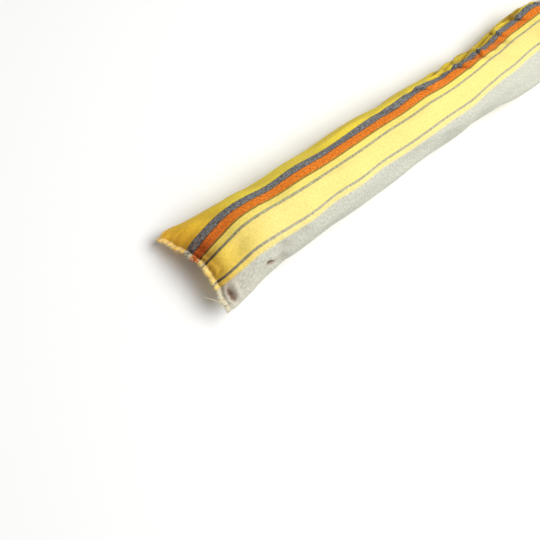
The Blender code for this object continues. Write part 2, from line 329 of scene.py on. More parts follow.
def ovalAngles(halfWidth, halfHeight, shares):
    angles = np.linspace(0.0, 2 * math.pi, 385)
    middles = (angles[1:] + angles[:-1]) / 2
    steps = np.hypot(halfWidth * np.sin(middles), halfHeight * np.cos(middles))
    lengths = np.concatenate(([0.0], np.cumsum(steps)))
    return np.interp(shares % 1.0, lengths / lengths[-1], angles)


def creaseDepth(along, arcs):
    depth = np.zeros(len(arcs))
    for crease in creases:
        heading = math.radians(crease["heading"])
        forward = along - crease["along"]
        sideways = arcs - crease["arc"]
        onLine = forward * math.cos(heading) + sideways * math.sin(heading)
        offLine = sideways * math.cos(heading) - forward * math.sin(heading)
        apart = (onLine / crease["run"]) ** 2 + (offLine / crease["width"]) ** 2
        depth += crease["depth"] * np.exp(-apart)
    return depth


def foldPath(fold):
    # a bent line through the fold's three places
    shares = np.linspace(0.0, 1.0, foldShape["pieces"] + 1)
    before, beside, after = (1 - shares) ** 2, 2 * shares * (1 - shares), shares ** 2
    columns = []
    for axis in ("Along", "Arc"):
        start, by, stop = (fold[part + axis] for part in ("from", "by", "to"))
        bend = 2 * by - (start + stop) / 2
        columns.append(before * start + beside * bend + after * stop)
    return np.stack(columns, axis=-1)


foldPaths = [foldPath(fold) for fold in folds]


def foldForm(along, arcs):
    # the valley of each fold with the ridge that stands beside it, and the painted shade of its valley
    height = np.zeros(len(arcs))
    hollow = np.zeros(len(arcs))
    clearance = foldShape["clearance"]
    for fold, path in zip(folds, foldPaths):
        if along < path[:, 0].min() - clearance or along > path[:, 0].max() + clearance:
            continue
        nearest = np.full(len(arcs), 1.0)
        signed = np.zeros(len(arcs))
        share = np.zeros(len(arcs))
        for step in range(foldShape["pieces"]):
            start, run = path[step], path[step + 1] - path[step]
            onLine = ((along - start[0]) * run[0] + (arcs - start[1]) * run[1]) / (run @ run)
            onLine = np.clip(onLine, 0.0, 1.0)
            offAlong = along - start[0] - onLine * run[0]
            offAround = arcs - start[1] - onLine * run[1]
            apart = np.hypot(offAlong, offAround)
            closer = apart < nearest
            side = np.sign(offAlong * run[1] - offAround * run[0])
            nearest = np.where(closer, apart, nearest)
            signed = np.where(closer, side * apart, signed)
            share = np.where(closer, (step + onLine) / foldShape["pieces"], share)
        width = fold["width"]
        valley, ridge, shade = (np.exp(-((signed - place * width) / (reach * width)) ** 2)
                                for place, reach in foldShape["parts"])
        strength = fold["depth"] * np.sin(math.pi * share) ** foldShape["endSoftness"]
        height += strength * (foldShape["ridgeShare"] * ridge - valley)
        hollow += strength / foldShape["shutDepth"] * shade
    # the soft dents get painted shade too
    hollow += np.maximum(creaseDepth(along, arcs), 0.0) / foldShape["dentDepth"]
    return height, np.minimum(hollow, 1.0)


def gatherDepth(inward, arcs):
    # nothing at the stitch line, full a third of the way in and nothing again where it ends
    share = min(max(inward / tube["gatherReach"], 0.0), 1.0)
    depth = np.zeros(len(arcs))
    for gather in gathers:
        depth += gather["depth"] * np.exp(-((arcs - gather["arc"]) / gather["width"]) ** 2)
    return depth * share * (1 - share) ** 2 * 27 / 4


def swellHeight(along, arcs):
    height = np.zeros(len(arcs))
    for wave in swells:
        turns = wave["perLength"] * along / (2 * halfLength) + wave["around"] * arcs / tube["girth"]
        height += wave["height"] * np.sin(2 * math.pi * turns + wave["phase"])
    return height


def fromStitch(along):
    # distance in from the stitch line of the nearer end
    return stitchLine - abs(along)


def seamShift(along):
    # how far the long seam has opened outwards
    opened = 1.0 - float(ease((fromStitch(along) - longSeam["openFrom"]) / longSeam["openOver"]))
    return opened * longSeam["ridgeWidth"] * 0.5


def ridgeHeight(along, arcs):
    # the long seam's two raw edges
    under = np.where(arcs > halfGirth, tube["girth"] - arcs, -arcs) + seamShift(along)
    rise = ease((under + longSeam["riseStart"]) / longSeam["riseOver"])
    fall = 1.0 - ease((under - longSeam["ridgeWidth"]) / longSeam["fallOver"])
    groove = np.exp(-((under + longSeam["groovePlace"]) / longSeam["grooveWidth"]) ** 2)
    height = longSeam["ridgeHeight"] * rise * fall - longSeam["grooveDepth"] * groove
    return height * float(ease(fromStitch(along) / longSeam["fadeOver"]))


def edgeRuffle(along, shares):
    # alike on the two layers of the sewn edge
    loose = float(ease((ruffleReach["from"] - fromStitch(along)) / ruffleReach["over"]))
    end = 0 if along < 0 else 1
    out = np.zeros(len(shares))
    lift = np.zeros(len(shares))
    for wave in ruffles:
        turns = shares * wave["waves"] + wave["phase"][end]
        out += wave["out"] * np.sin(2 * math.pi * turns)
        lift += wave["lift"] * np.cos(2 * math.pi * (turns + ruffleReach["liftLag"] * wave["waves"]))
    return out * loose, lift * loose


def clothRow(along, arcs, detailed):
    # one ring of the cloth, places around it given in metres from the long seam over the top
    inward = fromStitch(along)
    filled = min(max(inward / tube["shoulder"], 0.0), 1.0)
    halfWidth, side, turn = (float(readTable(sections, "along", key, along))
                             for key in ("halfWidth", "side", "turn"))
    full = fullHalfHeight(halfWidth)
    thickness = tube["edgeThickness"]
    if inward < 0:
        thickness *= math.sqrt(max(1 - (inward / tube["seamEdge"]) ** 4, 0.0))  # rounds the raw edge
    halfHeight = full * (1 - (1 - filled) ** tube["noseCurve"]) ** tube["noseSteepness"]
    halfHeight = max(halfHeight, thickness)

    angles = ovalAngles(halfWidth, halfHeight, arcs / tube["girth"] + turn / 360)
    across = halfWidth * np.cos(angles)
    up = halfHeight * np.sin(angles)
    outAcross = np.cos(angles) / halfWidth
    outUp = np.sin(angles) / max(halfHeight, 1e-6)
    scale = np.hypot(outAcross, outUp)
    raised = swellHeight(along, arcs) * ease(filled)
    if detailed:
        raised += ridgeHeight(along, arcs)
        creased = foldForm(along, arcs)[0] - creaseDepth(along, arcs)
        raised += creased * ease(inward / tube["creaseStart"])
        raised -= gatherDepth(inward, arcs)
    across = across + outAcross / scale * raised
    up = up + outUp / scale * raised

    seam = nearSeam if along < 0 else farSeam
    shareAcross = 0.5 - 0.5 * across / halfWidth
    held = (1 - filled) ** tube["seamHold"]
    drawnIn = readTable(seam, "across", "drawnIn", shareAcross) * held
    waves = tube["seamWaveHeight"] * np.sin(2 * math.pi * tube["seamWaves"] * shareAcross)
    seamHeight = readTable(seam, "across", "height", shareAcross) + waves
    ruffleOut, ruffleLift = edgeRuffle(along, shareAcross)
    lift = (full - tube["settle"]) * (1 - held) + seamHeight * held + ruffleLift
    shift = drawnIn - ruffleOut
    if along > 0:
        shift = -shift
    return np.stack((along + shift, side + across, lift + up), axis=-1)


def clothPlaces(stations, arcs, detailed=True):
    return np.array([clothRow(along, arcs, detailed) for along in stations])


def stationsAlong(endStep, middleStep):
    full = stitchLine - tube["shoulder"]
    edge = [halfLength - inset for inset in tube["edgeInsets"]] + [stitchLine]
    steps = int(tube["shoulder"] / endStep)
    nose = [stitchLine - tube["shoulder"] * (step / steps) ** tube["endCrowding"]
            for step in range(1, steps + 1)]
    plainSteps = int(2 * full / middleStep)
    near = [-place for place in edge + nose]
    plain = [-full + 2 * full * step / plainSteps for step in range(1, plainSteps)]
    return np.array(near + plain + [-place for place in reversed(near)])


def arcsAround():
    # closer together at the long seam, and alike on the top and the underside
    half = list(longSeam["places"])
    steps = tube["aroundSteps"] // 2
    last = half[-1]
    half += [last + (halfGirth - last) * step / steps for step in range(1, steps + 1)]
    return np.array(half + [tube["girth"] - place for place in reversed(half[:-1])])


stations = stationsAlong(tube["endStep"], tube["middleStep"])
arcs = arcsAround()
base = clothPlaces(stations, arcs)
hollows = np.array([foldForm(along, arcs)[1] for along in stations])
print("tube form worked out:", base.shape[:2])


# the panel of cloth, pressed out by its filling

def panelMesh(name, places, stations, arcs):
    # a panel of cloth laid out as a grid, taken to its places, and sewn along its side and at its ends
    rows, columns = places.shape[:2]
    bm = bmesh.new()
    bmesh.ops.create_grid(bm, x_segments=rows - 1, y_segments=columns - 1, size=0.5)
    cloth = bm.loops.layers.uv.new("cloth")
    rowLayer = bm.verts.layers.int.new("row")
    columnLayer = bm.verts.layers.int.new("column")
    grid = {}
    for vert in bm.verts:
        row = round((vert.co.x + 0.5) * (rows - 1))
        column = round((vert.co.y + 0.5) * (columns - 1))
        vert[rowLayer], vert[columnLayer] = row, column
        grid[row, column] = vert
    for face in bm.faces:
        face.smooth = True
        for loop in face.loops:
            vert = loop.vert
            loop[cloth].uv = (stations[vert[rowLayer]] + halfLength, arcs[vert[columnLayer]])
    for (row, column), vert in grid.items():
        vert.co = places[row, column]
    last = columns - 1
    sewn = {grid[row, last]: grid[row, 0] for row in range(rows)}
    for row in (0, rows - 1):
        for column in range(last // 2 + 1, last):
            sewn[grid[row, column]] = grid[row, last - column]
    bmesh.ops.weld_verts(bm, targetmap=sewn)
    bmesh.ops.recalc_face_normals(bm, faces=bm.faces)
    return takeMesh(name, bm)


def gridPlaces(mesh):
    # the row and the column of each vertex of a panel
    found = []
    for layerName in ("row", "column"):
        values = np.empty(len(mesh.vertices), dtype=np.int32)
        mesh.attributes[layerName].data.foreach_get("value", values)
        found.append(values)
    return found


def spread(field, reach):
    # evens a field out over the panel, round the tube and along it
    kernel = np.exp(-np.linspace(-2.0, 2.0, 2 * reach + 1) ** 2)
    kernel /= kernel.sum()
    ringed = np.concatenate((field[:, -1 - reach:-1], field[:, :-1], field[:, :reach]), axis=1)
    around = sum(weight * ringed[:, step:step + field.shape[1] - 1] for step, weight in enumerate(kernel))
    around = np.concatenate((around, around[:, :1]), axis=1)
    padded = np.concatenate((around[:1].repeat(reach, 0), around, around[-1:].repeat(reach, 0)))
    return sum(weight * padded[step:step + field.shape[0]] for step, weight in enumerate(kernel))


def pressedWrinkles():
    # cloth simulation: the filling presses from inside while both end seams are held
    stations = stationsAlong(pressing["step"], pressing["step"])
    arcs = np.linspace(0.0, tube["girth"], pressing["aroundSteps"] + 1)
    places = clothPlaces(stations, arcs, detailed=False)
    mesh = panelMesh("pressedPanel", places, stations, arcs)
    panel = addObject("pressedPanel", mesh)
    rows, columns = gridPlaces(mesh)
    held = panel.vertex_groups.new(name="heldSeams")
    ends = np.abs(stations[rows]) > stitchLine - 1e-6
    held.add(np.flatnonzero(ends).tolist(), 1.0, "REPLACE")

    # the cloth keeps the lengths that it had as a flat panel, which a round tube of its girth has too
    panel.shape_key_add(name="asSewn")
    unfilled = panel.shape_key_add(name="asCut")
    turns = 2 * math.pi * arcs[columns] / tube["girth"]
    radius = tube["girth"] / (2 * math.pi)
    cut = np.stack((stations[rows] * pressing["cutLength"] / (2 * halfLength),
                    radius * np.cos(turns), radius * np.sin(turns)), axis=-1)
    unfilled.data.foreach_set("co", cut.ravel())

    cloth = panel.modifiers.new("pressed", "CLOTH")
    settings = cloth.settings
    for label, value in pressing["cloth"].items():
        setattr(settings, label, value)
    settings.vertex_group_mass = "heldSeams"
    settings.rest_shape_key = unfilled
    settings.effector_weights.gravity = 0.0
    cloth.collision_settings.use_collision = False
    scene.frame_end = cloth.point_cache.frame_end = pressing["frames"]
    for step in range(1, pressing["frames"] + 1):
        scene.frame_set(step)
    pressed = panel.evaluated_get(bpy.context.evaluated_depsgraph_get())
    spots = np.empty(len(mesh.vertices) * 3)
    pressed.to_mesh().vertices.foreach_get("co", spots)
    pressed.to_mesh_clear()
    scene.frame_set(1)
    bpy.data.objects.remove(panel)

    moved = np.zeros_like(places)
    moved[rows, columns] = spots.reshape(-1, 3) - places[rows, columns]
    moved[:, -1] = moved[:, 0]
    half = moved.shape[1] // 2
    for row in (0, -1):
        moved[row, half + 1:] = moved[row, half - 1::-1]
    wrinkles = moved - spread(moved, pressing["reach"])
    size = np.linalg.norm(wrinkles, axis=2, keepdims=True)
    print("panel pressed out, wrinkles %.1f mm at most" % (1000 * size.max()))
    limit = pressing["mostMoved"]
    wrinkles *= limit * np.tanh(size / limit) / np.maximum(size, 1e-9)
    return wrinkles, stations, arcs


def ontoPanel(field, fromStations, fromArcs):
    # carries a field from the simulated panel to the finished one
    around = np.array([[np.interp(arcs, fromArcs, row[:, axis]) for axis in range(3)] for row in field])
    along = np.array([[np.interp(stations, fromStations, around[:, axis, column]) for axis in range(3)]
                      for column in range(len(arcs))])
    return np.moveaxis(along, 2, 0)


final = base.copy()
wrinkles = ontoPanel(*pressedWrinkles())
final += pressing["gain"] * spread(wrinkles, pressing["evenedOver"])
final[:, :, 2] = np.maximum(final[:, :, 2], 0.0)


def clothNormals(places):
    ringed = np.concatenate((places[:, -2:-1], places, places[:, 1:2]), axis=1)
    around = ringed[:, 2:] - ringed[:, :-2]
    along = np.gradient(places, axis=0)
    normals = np.cross(around, along)
    normals /= np.maximum(np.linalg.norm(normals, axis=2, keepdims=True), 1e-12)
    middle = places.mean(axis=1, keepdims=True)
    if np.sum(normals * (places - middle)) < 0:
        normals = -normals
    return normals


normals = clothNormals(final)


def stepOf(places, value):
    # the step that a value falls in, and its share of it
    index = min(max(int(np.searchsorted(places, value)) - 1, 0), len(places) - 2)
    return index, min(max((value - places[index]) / (places[index + 1] - places[index]), 0.0), 1.0)


def onCloth(along, arc, lift=0.0):
    # a place on the finished cloth, from its place along the tube and around it
    row, u = stepOf(stations, along)
    column, v = stepOf(arcs, arc % tube["girth"])
    weights = ((1 - u) * (1 - v), (1 - u) * v, u * (1 - v), u * v)
    corners = ((row, column), (row, column + 1), (row + 1, column), (row + 1, column + 1))
    place, normal = (sum(weight * field[corner] for weight, corner in zip(weights, corners))
                     for field in (final, normals))
    normal /= max(np.linalg.norm(normal), 1e-9)
    return Vector(place + lift * normal)


stuffedTube = addObject("stuffedTube", panelMesh("stuffedTube", final, stations, arcs))


def keepHollows(mesh):
    # the shade of the folds, kept on the cloth for its material
    rows, columns = gridPlaces(mesh)
    layer = mesh.attributes.new("hollow", "FLOAT", "POINT")
    layer.data.foreach_set("value", hollows[rows, columns].astype(np.float32))
    for layerName in ("row", "column"):
        mesh.attributes.remove(mesh.attributes[layerName])


keepHollows(stuffedTube.data)
print("stuffed tube made:", len(stuffedTube.data.polygons), "faces")


# overlock sewing on the three seams

overlock = {
    "threadRadius": 0.00020,
    "pitch": 0.0034,  # from one stitch to the next
    "uneven": 0.66,  # share of the pitch that a stitch may be out of place
    "needleInset": 0.0046,  # needle line, in from the raw edge
    "slack": 0.0015,  # how far a loop may stand out past the raw edge
    "endMargin": 0.004,  # share of the seam left bare at each ear
    "reach": (0.45, 1.50),  # how far in a stitch goes, in shares of the needle inset
    "leaves": (0.0, 0.30),  # where it crosses the raw edge, in shares of its step
    "comes": (0.70, 1.0),  # and where it comes back over it
    "longPitch": 0.0027, "needleRadius": 0.00022,
    "edgeRun": 0.0022,  # the last of the cloth, which gives the way out past the raw edge
}

looseThread = {
    "share": 0.885,  # place along the near seam, from the back ear to the front ear
    "radius": 0.00038,
    "points": ((0.0, 0.0, 0.0), (-0.0022, 0.0036, 0.0006), (-0.0046, 0.0068, 0.0001),
               (-0.0066, 0.0102, -0.0016), (-0.0083, 0.0136, -0.0039), (-0.0080, 0.0160, -0.0066)),
}


def strandMesh(name, strands, radius):
    # strands of thread, each a line of places, made round
    curve = bpy.data.curves.new(name, "CURVE")
    curve.dimensions = "3D"
    curve.bevel_depth = radius
    curve.bevel_resolution = 1
    curve.use_fill_caps = True
    for strand in strands:
        line = curve.splines.new("POLY")
        line.points.add(len(strand) - 1)
        for point, place in zip(line.points, strand):
            point.co = (*place, 1.0)
    holder = addObject(name, curve)
    depsgraph = bpy.context.evaluated_depsgraph_get()
    mesh = bpy.data.meshes.new_from_object(holder.evaluated_get(depsgraph))
    bpy.data.objects.remove(holder)
    bpy.data.curves.remove(curve)
    return mesh


def endSeamPlace(end, share, inset, lift, under=False):
    # a place on an end seam: share from the back ear to the front ear, inset from the raw edge
    arc = share * halfGirth
    if under:
        arc = tube["girth"] - arc
    return onCloth(end * (halfLength - inset), arc, lift)


def endSeamEdge(end, share, out):
    edge = endSeamPlace(end, share, 0.0, 0.0)
    inner = endSeamPlace(end, share, overlock["edgeRun"], 0.0)
    return edge + (edge - inner).normalized() * out


def endSeamStrands(end):
    # each stitch crosses the raw edge, runs along it and comes back beside the next one
    count = int(halfGirth / overlock["pitch"])
    radius = overlock["threadRadius"]
    needle = overlock["needleInset"]
    shares = []
    for stitch in range(count + 1):
        share = overlock["endMargin"] + (1 - 2 * overlock["endMargin"]) * stitch / count
        share += random.uniform(-1, 1) * overlock["uneven"] / count
        shares.append(min(max(share, 0.001), 0.999))
    strands, needleLines = [], []
    for under in (False, True):
        line, needleLine = [], []
        for here, there in zip(shares[:-1], shares[1:]):
            step = there - here
            reach = needle * random.uniform(*overlock["reach"])
            out = radius + random.random() ** 2 * overlock["slack"]
            leaving = here + step * random.uniform(*overlock["leaves"])
            coming = here + step * random.uniform(*overlock["comes"])
            strokes = ((here, 1.0, 0.5), ((here + leaving) / 2, 0.6, 1.2), (leaving, 0.2, 1.2))
            for share, depth, lift in strokes:
                line.append(endSeamPlace(end, share, reach * depth, radius * lift, under))
            line.append(endSeamEdge(end, leaving + step * 0.1, out))
            line.append(endSeamEdge(end, coming - step * 0.1, out * random.uniform(0.4, 1.0)))
            for share, depth in ((coming, 0.2), ((coming + there) / 2, 0.6)):
                line.append(endSeamPlace(end, share, reach * depth, radius * 1.2, under))
            needleLine.append(endSeamPlace(end, here, needle, -0.0002, under))
            for share in (here * 0.7 + there * 0.3, here * 0.3 + there * 0.7):
                needleLine.append(endSeamPlace(end, share, needle, radius * 0.4, under))
        strands.append(line)
        needleLines.append(needleLine)
    return strands, needleLines


def longSeamStrands():
    # the same stitch on the outer face of the long seam
    radius = overlock["threadRadius"]
    run = 2 * halfLength - 2 * overlock["needleInset"]
    count = int(run / overlock["longPitch"])
    begin = -halfLength + overlock["needleInset"]
    places = [begin + run * (stitch + random.uniform(-0.5, 0.5) * overlock["uneven"]) / count
              for stitch in range(count + 1)]
    zigzag, needleLine = [], []
    for here, there in zip(places[:-1], places[1:]):
        shift = seamShift(here)
        middle = here + (there - here) * random.uniform(0.35, 0.65)
        width = longSeam["ridgeWidth"] + random.uniform(-0.0002, 0.0003)
        line = ((here, 0.0004, 0.3), ((here * 2 + middle) / 3, 0.0022, 1.0),
                ((here + middle * 2) / 3, 0.0044, 1.0), (middle, width, 1.0),
                (middle, width + 0.0008, 0.4), ((there + middle * 2) / 3, 0.0044, 1.3),
                ((there * 2 + middle) / 3, 0.0022, 1.3))
        for along, under, lift in line:
            zigzag.append(onCloth(along, shift - under, radius * lift))
        for part, lift in ((0.0, -0.3), (0.3, 1.0), (0.7, 1.0)):
            needleLine.append(onCloth(here + (there - here) * part, shift - 0.0004, radius * lift))
    return [zigzag], [needleLine]


def sewSeams():
    meshes = []
    for seam in (endSeamStrands(-1), endSeamStrands(1), longSeamStrands()):
        for strands, radius in zip(seam, (overlock["threadRadius"], overlock["needleRadius"])):
            meshes.append(strandMesh("overlockThread", strands, radius))
    start = endSeamEdge(-1, looseThread["share"], 0.0)
    loose = [start + Vector(point) for point in looseThread["points"]]
    meshes.append(strandMesh("looseThread", [loose], looseThread["radius"]))
    bm = bmesh.new()
    for mesh in meshes:
        bm.from_mesh(mesh)
        bpy.data.meshes.remove(mesh)
    return addObject("overlockSewing", takeMesh("overlockSewing", bm))


overlockSewing = sewSeams()
print("seams sewn:", len(overlockSewing.data.polygons), "faces")


# yarns of the cloth that have worked loose at the end seams

frays = {
    "count": 240, "shortest": 0.0008, "longest": 0.0036, "radius": 0.00016,
    "between": (0.004, 0.996),  # from the back ear to the front ear
    "deepest": 0.0030,  # how far in from the raw edge a yarn may start
    "underShare": 0.4,
    "spread": 0.9,  # how far a yarn may lean along the seam
    "colourInset": 0.040,  # they are as light as the cloth is this far in
}

# yarns sprung out of the near seam; colour is the place on the cloth that they match
curls = table("share inset radius turns thickness colour", "share turns colour", (
    (0.402, 2.6, 1.8, 1.6, 0.44, (0.05, 0.056)),
    (0.43, 1.6, 1.3, 1.2, 0.4, (0.06, 0.056)),
    (0.376, 3, 1.1, 0.9, 0.36, (0.05, 0.056)),
    (0.346, 1.8, 1.2, 1.1, 0.26, (0.3, 0.125)),
    (0.322, 2.6, 0.9, 0.9, 0.24, (0.3, 0.046)),
    (0.01, 0.4, 1.3, 1.2, 0.26, (0.3, 0.125)),
    (0.935, 1, 1.1, 1, 0.24, (0.3, 0.125)),
))


def addYarn(bm, cloth, start, bend, tip, radius, coordinates):
    # a loose yarn in two short tapered lengths
    for low, high, wide, narrow in ((start, bend, 1.0, 0.85), (bend, tip, 0.85, 0.35)):
        direction = high - low
        turn = direction.to_track_quat("Z", "Y").to_matrix().to_4x4()
        matrix = Matrix.Translation((low + high) / 2) @ turn
        made = bmesh.ops.create_cone(bm, cap_ends=True, segments=4, matrix=matrix, radius1=radius * wide,
                                     radius2=radius * narrow, depth=direction.length * 1.05)
        for face in {face for vert in made["verts"] for face in vert.link_faces}:
            face.smooth = True
            for loop in face.loops:
                loop[cloth].uv = coordinates


def wayOut(end, share):
    # the way that the seam points past its raw edge
    return (endSeamEdge(end, share, 0.001) - endSeamPlace(end, share, 0.003, 0.0)).normalized()


def curlMesh(curl):
    # a coil that lies on the seam's thread and narrows as it rises
    lift = curl["thickness"] + 2.2 * overlock["threadRadius"]
    centre = endSeamPlace(-1, curl["share"], curl["inset"], lift)
    out = wayOut(-1, curl["share"])
    beside = out.cross(Vector((0.0, 0.0, 1.0))).normalized()
    upward = beside.cross(out)
    steps = round(curl["turns"] * 14)
    points = []
    for step in range(steps + 1):
        angle = 2 * math.pi * curl["turns"] * step / steps + 20 * curl["share"]
        radius = curl["radius"] * (1.0 - 0.35 * step / steps)
        rise = curl["thickness"] * (0.2 + 2.2 * step / steps)
        around = math.cos(angle) * beside + math.sin(angle) * out
        points.append(centre + radius * around + rise * upward)
    return strandMesh("curl", [points], curl["thickness"])


def frayEnds():
    bm = bmesh.new()
    bm.loops.layers.uv.new("cloth")
    for curl in curls:
        before = len(bm.faces)
        mesh = curlMesh(curl)
        bm.from_mesh(mesh)
        bpy.data.meshes.remove(mesh)
        bm.faces.ensure_lookup_table()
        cloth = bm.loops.layers.uv["cloth"]
        for face in bm.faces[before:]:
            for loop in face.loops:
                loop[cloth].uv = curl["colour"]
    cloth = bm.loops.layers.uv["cloth"]
    for end in (-1, 1):
        for _ in range(frays["count"]):
            share = random.uniform(*frays["between"])
            inset = random.uniform(0.0, frays["deepest"])
            under = random.random() < frays["underShare"]
            start = endSeamPlace(end, share, inset, 0.0001, under)
            out = wayOut(end, share)
            near = endSeamPlace(end, max(share - 0.01, 0.0), 0.0, 0.0)
            beside = (endSeamPlace(end, min(share + 0.01, 1.0), 0.0, 0.0) - near).normalized()
            upward = beside.cross(out)
            length = frays["shortest"] + (frays["longest"] - frays["shortest"]) * random.random() ** 2
            lean = random.uniform(-1, 1) * frays["spread"]
            way = (out + beside * lean + upward * random.uniform(-0.5, 0.5)).normalized()
            bend = start + way * (inset + length * 0.5)
            way += beside * random.uniform(-1.2, 1.2) + upward * random.uniform(-0.8, 0.8)
            tip = bend + way.normalized() * length * 0.6
            along = end * (halfLength - frays["colourInset"]) + halfLength
            addYarn(bm, cloth, start, bend, tip, frays["radius"], (along, share * halfGirth))
    return addObject("frayedYarns", takeMesh("frayedYarns", bm))


frayedYarns = frayEnds()
print("seam edges frayed")


# materials

# from the long seam to the front fold, the underside is the same turned over
# the second colour of each row is painted shade for both ends, deeper and darker than the warp; the
# off-white's is painted a little lighter
stripes = table("to warp handled heather", "warp handled heather", (
    (40, (0.9, 0.685, 0.054), (0.87, 0.49, 0.034), 0.16),
    (40.8, (0.12, 0.11, 0.085), (0.085, 0.06, 0.038), 0.6),
    (50.5, (0.156, 0.163, 0.176), (0.15, 0.141, 0.146), 1.1),
    (51.4, (0.17, 0.085, 0.04), (0.09, 0.038, 0.018), 0.5),
    (61.7, (0.715, 0.176, 0.011), (0.56, 0.105, 0.01), 0.5),
    (64, (0.3, 0.2, 0.04), (0.15, 0.09, 0.026), 0.45),
    (71.3, (0.86, 0.7, 0.16), (0.79, 0.54, 0.08), 0.14),
    (74.3, (0.39, 0.367, 0.212), (0.14, 0.112, 0.064), 0.5),
    (99.6, (0.85, 0.69, 0.225), (0.93, 0.64, 0.07), 0.14),
    (103.5, (0.41, 0.39, 0.265), (0.15, 0.134, 0.095), 0.5),
    (108.8, (0.82, 0.69, 0.26), (0.88, 0.62, 0.1), 0.18),
    (110.4, (0.69, 0.63, 0.37), (0.68, 0.54, 0.25), 0.25),
    (144, (0.545, 0.547, 0.47), (0.6, 0.572, 0.478), 0.28),
))

cottonCloth = {
    "yarnSpacing": 0.00062, "yarnHeight": 0.00011,
    "weftColour": (0.70, 0.55, 0.18, 1.0), "weftShows": 0.10,
    "fleckLength": 0.0042, "fleckWidth": 0.0015, "fleckDepth": 0.75, "fleckRise": 0.4,
    "crumpleSize": 0.011, "crumpleHeight": 0.00028,
    "mottleSize": 0.045, "mottleDepth": 0.10,
    "edgeWander": 0.0011, "edgeWanderSize": 0.050,
    "edgeRaggedness": 0.00035, "edgeRaggedSize": 0.0018,
    "paintedEndShadingReach": (0.090, -0.012),  # painted shade on both ends: deeper, darker colours there, and a lighter off-white
    "paintedEndShadingUneven": 0.03,
    "rootReach": (0.040, 0.0080),  # painted shade behind the seam, where the cloth is gathered in
    "shade": (0.42, 0.29, 0.24, 1.0),
    "rootShare": 0.80, "hollowShare": 0.92,
    "edgeReach": (0.0068, 0.0036),  # and its cut edge has gone pale and fluffy
    "edgeShare": 0.44, "edgeColour": (0.88, 0.76, 0.46, 1.0), "edgePatchSize": 0.0022,
    "roughness": 0.88, "sheen": 0.04,
}

sewingThread = {
    "colour": (0.89, 0.78, 0.52, 1.0), "darkColour": (0.58, 0.44, 0.22, 1.0),
    "toneSize": 0.006, "twistSize": 0.0006, "twistHeight": 0.0001,
    "roughness": 0.80, "sheen": 0.10,
}


def addNode(tree, kind, inputs=None, **values):
    node = tree.nodes.new("ShaderNode" + kind)
    for key, value in values.items():
        setattr(node, key, value)
    for label, source in (inputs or {}).items():
        plug(tree, node.inputs[label], source)
    return node


def maths(tree, operation, *sources, clamp=False):
    inputs = dict(enumerate(sources))
    return addNode(tree, "Math", inputs, operation=operation, use_clamp=clamp).outputs[0]


def mixColours(tree, factor, first, second, blend="MIX"):
    inputs = {0: factor, 6: first, 7: second}
    return addNode(tree, "Mix", inputs, data_type="RGBA", blend_type=blend).outputs[2]


def noise(tree, vector, size, detail=2.0):
    inputs = {"Vector": vector, "Scale": 1.0 / size, "Detail": detail}
    return addNode(tree, "TexNoise", inputs).outputs["Fac"]


def inwardMask(tree, fromMiddle, reach):
    # 0 further in than the first distance from the raw edge, 1 nearer than the second
    inputs = {"Value": fromMiddle, "From Min": halfLength - reach[0], "From Max": halfLength - reach[1]}
    return addNode(tree, "MapRange", inputs, interpolation_type="SMOOTHSTEP").outputs["Result"]


def splitVector(tree, vector):
    return addNode(tree, "SeparateXYZ", {0: vector}).outputs


def newGroup(name, inputs, outputs):
    group = bpy.data.node_groups.new(name, "ShaderNodeTree")
    for sockets, way in ((inputs, "INPUT"), (outputs, "OUTPUT")):
        for label, kind in sockets.items():
            group.interface.new_socket(name=label, in_out=way, socket_type="NodeSocket" + kind)
    return group, group.nodes.new("NodeGroupInput").outputs, group.nodes.new("NodeGroupOutput").inputs


def plainWeaveGroup():
    # yarns that pass over and under each other; along and around are in metres
    group, given, result = newGroup(
        "plainWeave", {"Along": "Float", "Around": "Float", "Yarn Spacing": "Float"},
        {"Height": "Float", "Weft Over": "Float"})
    calc, times = partial(maths, group), partial(maths, group, "MULTIPLY")
    turn = calc("DIVIDE", math.pi, given["Yarn Spacing"])
    weft = calc("SINE", times(given["Along"], turn))
    warp = calc("SINE", times(given["Around"], turn))
    over = times(weft, warp)
    warpTop = times(calc("ABSOLUTE", warp), calc("MULTIPLY_ADD", over, 0.4, 0.6))
    weftTop = times(calc("ABSOLUTE", weft), calc("MULTIPLY_ADD", over, -0.4, 0.6))
    plug(group, result["Height"], calc("MAXIMUM", warpTop, weftTop))
    plug(group, result["Weft Over"], calc("MULTIPLY_ADD", over, -2.0, 0.0, clamp=True))
    return group


def yarnToneGroup():
    # lighter and darker stretches of spun yarn, from -1 to 1
    group, given, result = newGroup("yarnTone", {"Vector": "Vector", "Length": "Float", "Width": "Float"},
                                    {"Tone": "Float"})
    calc = partial(maths, group)
    split = splitVector(group, given["Vector"])
    tones = []
    for labels in (("Length", "Width", "Width"), ("Width", "Length", "Width")):
        scaled = {axis: calc("DIVIDE", split[axis], given[label]) for axis, label in zip("XYZ", labels)}
        merged = addNode(group, "CombineXYZ", scaled).outputs[0]
        tones.append(noise(group, merged, 1.0, 1.0))
    shifted = calc("MULTIPLY_ADD", calc("ADD", *tones), 3.0, -3.0)
    plug(group, result["Tone"], calc("MINIMUM", calc("MAXIMUM", shifted, -1.0), 1.0))
    return group


plainWeave = plainWeaveGroup()
yarnTone = yarnToneGroup()


def yarnTones(tree, vector, length, width):
    inputs = {"Vector": vector, "Length": length, "Width": width}
    return addNode(tree, "Group", inputs, node_tree=yarnTone).outputs["Tone"]


def fabric(name, look):
    return newMaterial(name, {"Roughness": look["roughness"], "Specular IOR Level": 0.14,
                              "Sheen Weight": look["sheen"], "Sheen Roughness": 0.45})


def bumped(tree, height, shader):
    bump = addNode(tree, "Bump", {"Strength": 1.0, "Distance": 1.0, "Height": height})
    plug(tree, shader.inputs["Normal"], bump.outputs["Normal"])


